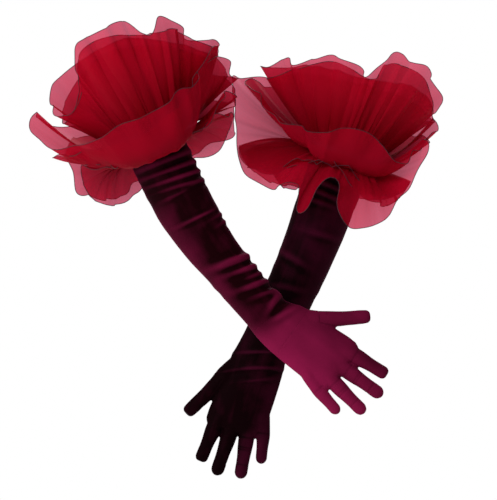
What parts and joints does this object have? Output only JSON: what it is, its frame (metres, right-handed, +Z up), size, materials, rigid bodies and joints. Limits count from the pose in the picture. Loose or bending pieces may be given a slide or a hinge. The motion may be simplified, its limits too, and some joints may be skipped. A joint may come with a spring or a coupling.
{
  "type": "pair of opera gloves",
  "caption": "Elbow-length stretch velvet gloves with a gathered organza ruffle at each cuff, posed crossed, with folding sleeves, wrists and fingers",
  "frame": {"origin": "middle of the right glove's cuff elastic, on the arm's axis", "axes": "X to the right seen from the front (the side of the backs of the hands), Y away from the viewer, Z up; the gloves hang as worn on lowered, crossed arms"},
  "size_m": [0.5789, 0.3478, 0.6757],
  "materials": {
    "velvet": "stretch velvet, short glossy pile, deep wine red with a magenta sheen",
    "organza": "crisp sheer organza, crimson, fine plain weave",
    "thread": "dark burgundy thread and narrow rolled hem",
    "elastic": "flat woven elastic, dark burgundy"
  },
  "bodies": {
    "right_upper": {"right_ruffle_upper_tier": "organza", "right_ruffle_middle_tier": "organza", "right_ruffle_lower_tier": "organza", "right_upper_hem": "thread", "right_middle_hem": "thread", "right_lower_hem": "thread", "right_gathering_tape": "thread", "right_cuff_band": "velvet", "right_cuff_elastic": "elastic", "right_upper_sleeve": "velvet", "right_upper_seam": "thread", "right_elbow_fold": "velvet"},
    "right_forearm": {"right_forearm_sleeve": "velvet", "right_forearm_seam": "thread", "right_wrist_fold": "velvet"},
    "right_hand": {"right_back_panel": "velvet", "right_palm_panel": "velvet", "right_thumb_gusset": "velvet", "right_thumb_fold": "velvet", "right_knuckle_folds": "velvet", "right_fourchettes": "velvet"},
    "right_thumb": {"right_thumb_stall": "velvet"},
    "right_index": {"right_index_stall": "velvet"},
    "right_middle": {"right_middle_stall": "velvet"},
    "right_ring": {"right_ring_stall": "velvet"},
    "right_little": {"right_little_stall": "velvet"},
    "left_upper": {"left_ruffle_upper_tier": "organza", "left_ruffle_middle_tier": "organza", "left_ruffle_lower_tier": "organza", "left_upper_hem": "thread", "left_middle_hem": "thread", "left_lower_hem": "thread", "left_gathering_tape": "thread", "left_cuff_band": "velvet", "left_cuff_elastic": "elastic", "left_upper_sleeve": "velvet", "left_upper_seam": "thread", "left_elbow_fold": "velvet"},
    "left_forearm": {"left_forearm_sleeve": "velvet", "left_forearm_seam": "thread", "left_wrist_fold": "velvet"},
    "left_hand": {"left_back_panel": "velvet", "left_palm_panel": "velvet", "left_thumb_gusset": "velvet", "left_thumb_fold": "velvet", "left_knuckle_folds": "velvet", "left_fourchettes": "velvet"},
    "left_thumb": {"left_thumb_stall": "velvet"},
    "left_index": {"left_index_stall": "velvet"},
    "left_middle": {"left_middle_stall": "velvet"},
    "left_ring": {"left_ring_stall": "velvet"},
    "left_little": {"left_little_stall": "velvet"}
  },
  "joints": [
    {"name": "right_sleeve_fold", "type": "hinge", "parent": "right_upper", "child": "right_forearm", "pos_m": [0.0681, 0, -0.13365], "axis": [-0.8339, 0, -0.5519], "range_deg": [0, 80], "deforming": ["right_elbow_fold"]},
    {"name": "right_wrist_bend", "type": "hinge", "parent": "right_forearm", "child": "right_hand", "pos_m": [0.17737, 0, -0.26388], "axis": [0.704, 0, 0.7102], "range_deg": [-60, 30], "deforming": ["right_wrist_fold"]},
    {"name": "right_thumb_bend", "type": "hinge", "parent": "right_hand", "child": "right_thumb", "pos_m": [0.25323, 0, -0.25303], "axis": [-0.0785, 0, 0.9969], "range_deg": [0, 60], "deforming": ["right_thumb_fold"]},
    {"name": "right_index_bend", "type": "hinge", "parent": "right_hand", "child": "right_index", "pos_m": [0.29215, 0, -0.30898], "axis": [0.5225, 0, 0.8526], "range_deg": [0, 80], "deforming": ["right_knuckle_folds"]},
    {"name": "right_middle_bend", "type": "hinge", "parent": "right_hand", "child": "right_middle", "pos_m": [0.28123, 0, -0.33177], "axis": [0.5807, 0, 0.8141], "range_deg": [0, 80], "deforming": ["right_knuckle_folds"]},
    {"name": "right_ring_bend", "type": "hinge", "parent": "right_hand", "child": "right_ring", "pos_m": [0.26196, 0, -0.3504], "axis": [0.7071, 0, 0.7071], "range_deg": [0, 80], "deforming": ["right_knuckle_folds"]},
    {"name": "right_little_bend", "type": "hinge", "parent": "right_hand", "child": "right_little", "pos_m": [0.23801, 0, -0.36046], "axis": [0.749, 0, 0.6626], "range_deg": [0, 80], "deforming": ["right_knuckle_folds"]},
    {"name": "pair_spread", "type": "slide", "parent": "right_upper", "child": "left_upper", "axis": [0, 1, 0], "range_m": [0, 0.3]},
    {"name": "left_sleeve_fold", "type": "hinge", "parent": "left_upper", "child": "left_forearm", "pos_m": [0.2167, 0.104, -0.15895], "axis": [0.9255, 0, -0.3786], "range_deg": [0, 80], "deforming": ["left_elbow_fold"]},
    {"name": "left_wrist_bend", "type": "hinge", "parent": "left_forearm", "child": "left_hand", "pos_m": [0.1462, 0.104, -0.31365], "axis": [0.9426, 0, -0.3338], "range_deg": [-30, 60], "deforming": ["left_wrist_fold"]},
    {"name": "left_thumb_bend", "type": "hinge", "parent": "left_hand", "child": "left_thumb", "pos_m": [0.08157, 0.104, -0.35352], "axis": [0.6884, 0, -0.7254], "range_deg": [0, 60], "deforming": ["left_thumb_fold"]},
    {"name": "left_index_bend", "type": "hinge", "parent": "left_hand", "child": "left_index", "pos_m": [0.07985, 0.104, -0.4176], "axis": [0.9239, 0, -0.3827], "range_deg": [0, 80], "deforming": ["left_knuckle_folds"]},
    {"name": "left_middle_bend", "type": "hinge", "parent": "left_hand", "child": "left_middle", "pos_m": [0.10208, 0.104, -0.42961], "axis": [0.9483, 0, -0.3173], "range_deg": [0, 80], "deforming": ["left_knuckle_folds"]},
    {"name": "left_ring_bend", "type": "hinge", "parent": "left_hand", "child": "left_ring", "pos_m": [0.12862, 0.104, -0.43336], "axis": [0.9877, 0, -0.1564], "range_deg": [0, 80], "deforming": ["left_knuckle_folds"]},
    {"name": "left_little_bend", "type": "hinge", "parent": "left_hand", "child": "left_little", "pos_m": [0.15391, 0.104, -0.42743], "axis": [0.9954, 0, -0.0958], "range_deg": [0, 80], "deforming": ["left_knuckle_folds"]}
  ]
}
